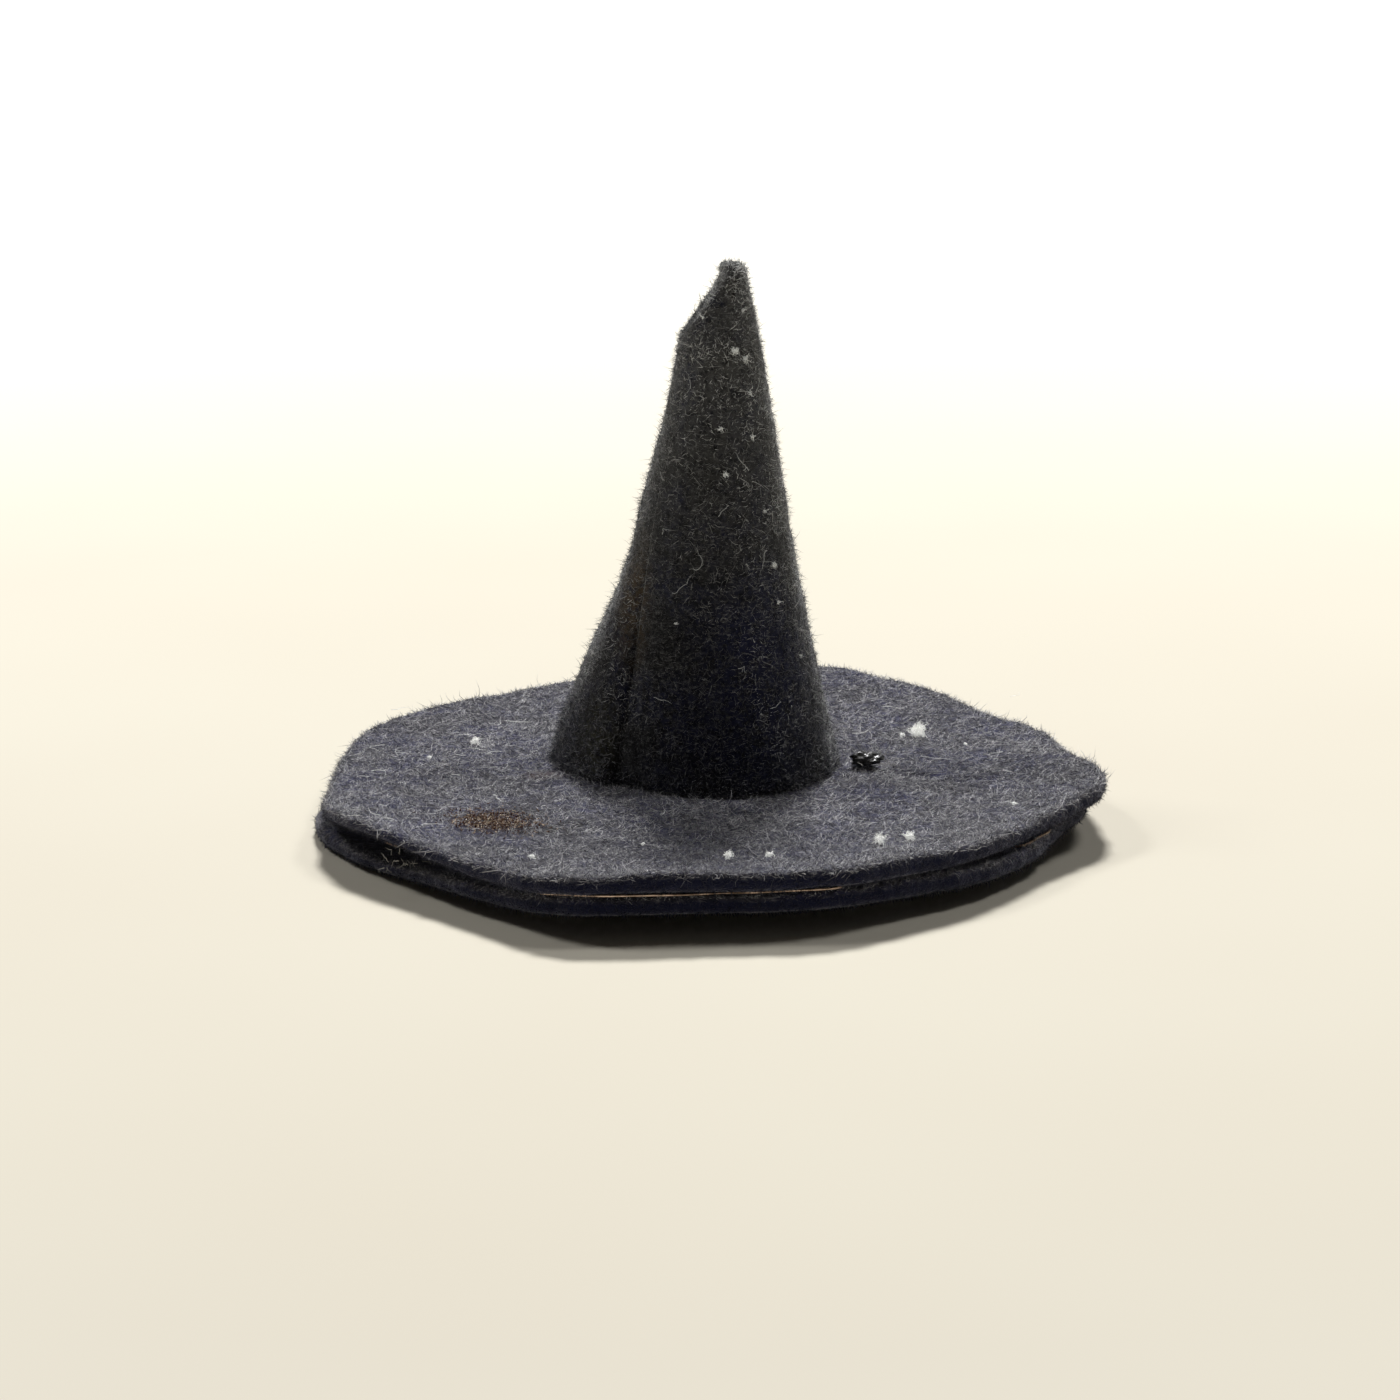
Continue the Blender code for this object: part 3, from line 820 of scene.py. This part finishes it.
def lumpyShape(centre, reach, bumps, seed, rows, around):
    # points and faces of a closed lump with a flat underside
    down = np.linspace(0, pi, rows)[1:-1]
    turn = np.linspace(0, 2 * pi, around, endpoint=False)
    down, turn = np.meshgrid(down, turn, indexing="ij")
    unit = np.stack([np.sin(down) * np.cos(turn), np.sin(down) * np.sin(turn), np.cos(down)], -1)
    ends = np.array([[0, 0, 1.0], [0, 0, -1.0]])
    unit = np.concatenate([unit.reshape(-1, 3), ends])
    swell = 1 + relief(unit, bumps, seed)
    points = np.array(centre) + unit * swell[:, None] * np.array(reach)
    points[:, 2] = np.maximum(points[:, 2], centre[2] - reach[2] * 0.6)
    last = rows - 2
    low = (last - 1) * around
    nextTo = [(k + 1) % around for k in range(around)]
    faces = [(row + k, row + around + k, row + around + nextTo[k], row + nextTo[k])
             for row in range(0, low, around) for k in range(around)]
    faces += [(last * around, k, nextTo[k]) for k in range(around)]
    faces += [(last * around + 1, low + nextTo[k], low + k) for k in range(around)]
    return points, faces


def makeLumps(name, spots, bumps, seed, finish, node=None, rows=26, around=44):
    # one piece of several lumps, each as (centre, reach)
    points, faces = [], []
    for n, (centre, reach) in enumerate(spots):
        shape, sides = lumpyShape(centre, reach, bumps, seed + n, rows, around)
        first = sum(len(group) for group in points)
        faces += [tuple(first + corner for corner in side) for side in sides]
        points.append(shape)
    return makePiece(name, np.concatenate(points), faces, finish, node)


def boxOf(node):
    low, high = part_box(node)
    return np.array((low + high) / 2), np.array((high - low) / 2)


drip = {"reach": [1.35, 1.2, 1.2], "bumps": [(0.9, 0.5), (0.4, 0.35), (0.18, 0.16)], "seed": 81}
dripPlace, dripReach = boxOf("foot_glue_drip")
makeLumps("gluedDrip", [(dripPlace, dripReach * drip["reach"])], drip["bumps"], drip["seed"], darkGlue,
          "foot_glue_drip")
dab = {"bumps": [(0.8, 0.2), (0.3, 0.1)], "seed": 83}
makeLumps("mouthDab", [boxOf("mouth_glue")], dab["bumps"], dab["seed"], clearGlue, "mouth_glue")
for node in ("brim_glue", "crown_foot_glue", "crown_seam_glue"):
    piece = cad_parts[node]
    piece.data.materials.clear()
    piece.data.materials.append(clearGlue.material)

print("lint, threads and grains")


def curledPaths(rng, starts, aims, lengths, curl, steps=8):
    # paths that wander as loose fibres do
    points, aim = [starts], aims / np.linalg.norm(aims, axis=1, keepdims=True)
    for _ in range(steps):
        aim = aim + rng.normal(size=aim.shape) * curl
        aim /= np.linalg.norm(aim, axis=1, keepdims=True)
        points.append(points[-1] + aim * (lengths / steps)[:, None])
    return np.stack(points, 1)


def onBrim(paths, lift):
    # keeps paths just above the brim's top
    paths[..., 2] = np.maximum(paths[..., 2], brimTopAt(paths[..., 0], paths[..., 1]) + lift)
    return paths


def onCrownFront(across, height):
    # a point on the crown's front, from millimetres right of its axis and over the brim
    radius = coneRadius(height * mm) + crown["felt"] * 0.1
    y = -np.sqrt(np.maximum(radius ** 2 - (across * mm) ** 2, 0))
    return axis + np.array([across * mm + crownSway(height * mm), y, brimTop + height * mm])


def tufts(rng, places, flat):
    # a small knot of curled fibres at each (place, size in millimetres, count)
    groups = []
    for place, size, count in places:
        spread = rng.normal(size=(count, 3)) * np.array([1, 1, flat]) * size * 0.28 * mm
        lengths = between(rng, count, 0.6, 1.8) * size * mm
        aims = rng.normal(size=(count, 3)) * [1, 1, flat]
        groups.append(curledPaths(rng, place + spread, aims, lengths, 0.9))
    return np.concatenate(groups)


def layFibres(name, paths, width, shade, finish):
    # strands of widths and shades between two limits; a third value of the shade favours the first limit
    widths = between(rng, len(paths), *width) * mm
    return strandMesh(name, paths, widths, between(rng, len(paths), *shade), finish)


def lintCores(name, places, reach, seed, finish):
    # a dense small lump in the middle of each tuft
    cores = [(place, np.array(reach) * size * mm) for place, size, _ in places]
    return makeLumps(name, cores, [(0.6, 0.5), (0.25, 0.25)], seed, finish, None, 12, 16)


rng = np.random.default_rng(91)
# lint on the brim as (across, back, size, fibres), and on the crown as (across, height, size, fibres)
lint = [(-22.9, 9.1, 0.6, 50), (20.6, 12.8, 0.95, 190), (19.0, 11.2, 0.45, 18), (1.6, -28.8, 0.5, 36),
        (5.3, -28.8, 0.5, 20), (15.2, -23.6, 0.65, 60), (17.9, -23.4, 0.6, 50), (-15.7, -30.2, 0.45, 16),
        (-27, 3.5, 0.35, 10), (9, 21, 0.35, 8), (25, 8, 0.3, 8), (-6, -24, 0.3, 8), (28, -14, 0.35, 10)]
flecks = [(1.4, 41, 0.6, 34), (2.4, 40.2, 0.5, 22), (0.2, 34, 0.4, 16), (5.8, 21, 0.5, 24),
          (0.9, 29.8, 0.4, 18), (2.9, 37, 0.35, 12), (3.2, 33, 0.35, 12), (-1.5, 44, 0.3, 8),
          (4.9, 26, 0.35, 12), (-3.4, 16, 0.3, 8), (6.2, 17.5, 0.35, 10), (8.4, 12, 0.3, 8),
          (2.2, 44.6, 0.35, 12)]
places = [(np.array([x * mm, y * mm, brimTopAt(x * mm, y * mm) + 0.6 * mm]), size, count)
          for x, y, size, count in lint]
paths = onBrim(tufts(rng, places, 0.45), 0.05 * mm)
lintCores("brimLintCores", places, [0.55, 0.4, 0.3], 93, lintHair)
layFibres("brimLint", paths, (0.07, 0.13), (0.5, 1.5), lintHair)
places = [(onCrownFront(x, z), size, count) for x, z, size, count in flecks]
paths = tufts(rng, places, 1)
lintCores("crownLintCores", places, [0.36, 0.36, 0.36], 95, crownFleck)
layFibres("crownLint", paths, (0.045, 0.08), (0.5, 1.5), crownFleck)

threads = {
    "count": 34, "atLeft": 20, "across": (-33, 31), "leftAcross": (-33, -20), "back": (-24, 20),
    "length": (1.6, 4.6), "curl": 0.32, "lift": 0.34 * mm,
}
# threads on the crown, as (across, height, aim across, aim up, length) in millimetres
curls = [(-1.8, 21.2, 1, -0.3, 4.6), (-3.7, 18.8, 1, -0.4, 3.2), (-2.6, 37.5, -0.1, 1, 2.6),
         (3.0, 30, 0.3, 1, 3), (5.0, 22.5, -0.6, -0.6, 2.6), (0.5, 26, 0.9, 0.3, 2.4),
         (-4.6, 24, 0.4, 0.9, 2.6), (2.4, 12, 1, 0.2, 3), (5.4, 8, 1, -0.2, 2.6),
         (-5.4, 9, 0.8, 0.5, 2.4), (3.6, 35, -0.4, 0.9, 2.2), (1.0, 43, 0.5, 0.8, 1.8)]


def looseThreads():
    # long pale fibres that lie on the brim, most of them at its left
    count, atLeft = threads["count"], threads["atLeft"]
    x = between(rng, count, *threads["across"]) * mm
    x[:atLeft] = between(rng, atLeft, *threads["leftAcross"]) * mm
    y = axis[1] + between(rng, count, *threads["back"]) * mm
    # those that would fall on the crown go to its right
    x = np.where(np.hypot(x - axis[0], y - axis[1]) < 15 * mm, x + 24 * mm, x)
    starts = np.stack([x, y, brimTopAt(x, y) + 0.38 * mm], -1)
    aims = np.stack([rng.choice([-1, 1], count) * 1.0, rng.normal(size=count) * 0.6, np.zeros(count)], -1)
    lengths = between(rng, count, *threads["length"]) * mm
    paths = curledPaths(rng, starts, aims, lengths, threads["curl"], 12)
    paths[..., 2] = starts[:, None, 2]
    return onBrim(paths, threads["lift"])


def crownThreads():
    starts = np.array([onCrownFront(x, z) for x, z, *_ in curls])
    aims = np.array([(x, 0, z) for _, _, x, z, _ in curls])
    lengths = np.array([row[4] for row in curls]) * mm
    paths = curledPaths(rng, starts, aims, lengths, 0.45, 12)
    # back onto the cone, a hair's breadth off it
    height = paths[..., 2] - brimTop
    middle = np.stack([axis[0] + crownSway(height), np.full_like(height, axis[1])], -1)
    arm = paths[..., :2] - middle
    reach = coneRadius(height) + 0.28 * mm
    paths[..., :2] = middle + arm / np.linalg.norm(arm, axis=-1, keepdims=True) * reach[..., None]
    return paths


def glueThreads():
    # fibres pulled out of the drip, and shiny ones in the brim's mouth
    count = 26
    starts = dripPlace + rng.normal(size=(count, 3)) * np.array([0.9, 0.5, 0.15]) * mm
    along = 0.6 + rng.random(count)
    aims = np.stack([along, rng.normal(size=count) * 0.55, 0.25 + 0.4 * rng.random(count)], -1)
    pulled = curledPaths(rng, starts, aims, between(rng, count, 0.8, 3.0) * mm, 0.35, 8)
    pulled = onBrim(pulled, 0.3 * mm)
    count = 16
    spread = rng.normal(size=(count, 3)) * np.array([1.4, 0.9, 0.25]) * mm
    starts = np.array([-27.6, -23.4, 3.0]) * mm + spread
    aims = np.stack([rng.normal(size=count) * share for share in (1, 0.6, 0.5)], -1)
    mouth = curledPaths(rng, starts, aims, between(rng, count, 0.6, 1.8) * mm, 0.6, 8)
    return np.concatenate([pulled, mouth])


def stainGrains():
    # crumbs of brown glue caught in the felt
    count = stain["grains"]
    spot = stain["place"] + rng.normal(size=(count, 2)) * stain["reach"] * 0.55
    top = brimTopAt(spot[:, 0], spot[:, 1])
    starts = np.column_stack([spot, top + (0.05 + 0.35 * rng.random(count)) * mm])
    aims = rng.normal(size=(count, 3)) * [1, 1, 0.8]
    return curledPaths(rng, starts, aims, between(rng, count, 0.12, 0.5, 1.5) * mm, 0.3, 2)


layFibres("brimThreads", looseThreads(), (0.045, 0.075), (0, 0.8), lintHair)
layFibres("crownThreads", crownThreads(), (0.045, 0.06), (0, 0.5), crownFleck)
layFibres("glueThreads", glueThreads(), (0.05, 0.08), (0, 1), shinyGlue)
layFibres("stainGrains", stainGrains(), (0.07, 0.15), (0, 1, 2.6), brownGlue)

print("stage")
paper = {
    "cream": (0.86, 0.80, 0.67, 1), "warm": (0.88, 0.83, 0.70, 1), "far": (0.86, 0.86, 0.82, 1),
    "glow": (0.75, 0.73, 0.68, 1), "cloud": 90 * mm, "radii": (0.3, 0.8, 1.5, 3), "around": 96,
}
# turn is measured from straight behind the hat, towards its right
lights = [
    {"name": "keyLight", "turn": 3, "rise": 57, "size": (0.22, 0.18), "power": 13.0},
    {"name": "leftLight", "turn": -78, "rise": 52, "size": (0.22, 0.22), "power": 2.8},
    {"name": "rightLight", "turn": 78, "rise": 60, "size": (0.22, 0.22), "power": 2.2},
]
lightDistance = 1.2
room = {"colour": (1, 0.96, 0.88, 1), "seen": 0.95, "fill": 0.03}
view = {"lens": 100, "sensor": 36, "tilt": 16, "target": (-0.9, 4.75, 9.83), "distance": 0.375}


def makeStage():
    finish = Finish("paperFloor", {"Roughness": 0.9, "Specular IOR Level": 0.1, "Emission Strength": 1.0})
    cloud = finish.range(finish.noise(paper["cloud"], 2), 0.3, 0.7)
    cream = finish.mix(cloud, paper["cream"], paper["warm"])
    distance = finish.add("VectorMath", {"operation": "LENGTH"}, {0: finish.place()}, 1)
    finish.drive("Base Color", finish.mix(finish.range(distance, 0.1, 0.6), cream, paper["far"]))
    # the far floor glows, so it fades into the pale room behind it
    fade = finish.mix(finish.range(distance, 0.12, 1.0), (0, 0, 0, 1), paper["glow"])
    finish.drive("Emission Color", fade)
    around, rings = paper["around"], len(paper["radii"])
    turns = [2 * pi * k / around for k in range(around)]
    points = [(0, 0, 0)]
    points += [(radius * cos(turn), radius * sin(turn), 0) for radius in paper["radii"] for turn in turns]
    faces = [(0, 1 + k, 1 + (k + 1) % around) for k in range(around)]
    for start in range(1, 1 + (rings - 1) * around, around):
        for k in range(around):
            a, b = start + k, start + (k + 1) % around
            faces.append((a, a + around, b + around, b))
    mesh = bpy.data.meshes.new("floor")
    mesh.from_pydata(points, [], faces)
    mesh.materials.append(finish.material)
    floor = bpy.data.objects.new("floor", mesh)
    bpy.context.scene.collection.objects.link(floor)


def addLight(name, turn, rise, size, power):
    lamp = bpy.data.lights.new(name, "AREA")
    lamp.shape = "RECTANGLE"
    lamp.size, lamp.size_y = size
    lamp.energy = power
    light = bpy.data.objects.new(name, lamp)
    turn, rise = radians(turn), radians(rise)
    away = Vector((cos(rise) * sin(turn), cos(rise) * cos(turn), sin(rise)))
    light.location = away * lightDistance
    light.rotation_euler = away.to_track_quat("Z", "Y").to_euler()
    bpy.context.scene.collection.objects.link(light)


def makeWorld():
    # the lens sees a pale room, but the hat gets little light from it
    world = bpy.data.worlds.new("studio")
    world.use_nodes = True
    tree = world.node_tree
    backdrop = tree.nodes["Background"]
    backdrop.inputs["Color"].default_value = room["colour"]
    seen = Flow(tree, tree.nodes.new("ShaderNodeLightPath").outputs["Is Camera Ray"])
    strength = seen * (room["seen"] - room["fill"]) + room["fill"]
    tree.links.new(strength.socket, backdrop.inputs["Strength"])
    bpy.context.scene.world = world


def addCamera():
    lens = bpy.data.cameras.new("camera")
    lens.lens = view["lens"]
    lens.sensor_width = view["sensor"]
    lens.clip_start, lens.clip_end = 0.01, 10
    camera = bpy.data.objects.new("camera", lens)
    tilt = radians(view["tilt"])
    back = Vector((0, -cos(tilt), sin(tilt))) * view["distance"]
    camera.location = Vector(view["target"]) * mm + back
    camera.rotation_euler = (pi / 2 - tilt, 0, 0)
    bpy.context.scene.collection.objects.link(camera)
    bpy.context.scene.camera = camera


makeStage()
makeWorld()
for light in lights:
    addLight(**light)
addCamera()
bpy.context.scene.view_settings.view_transform = "Standard"
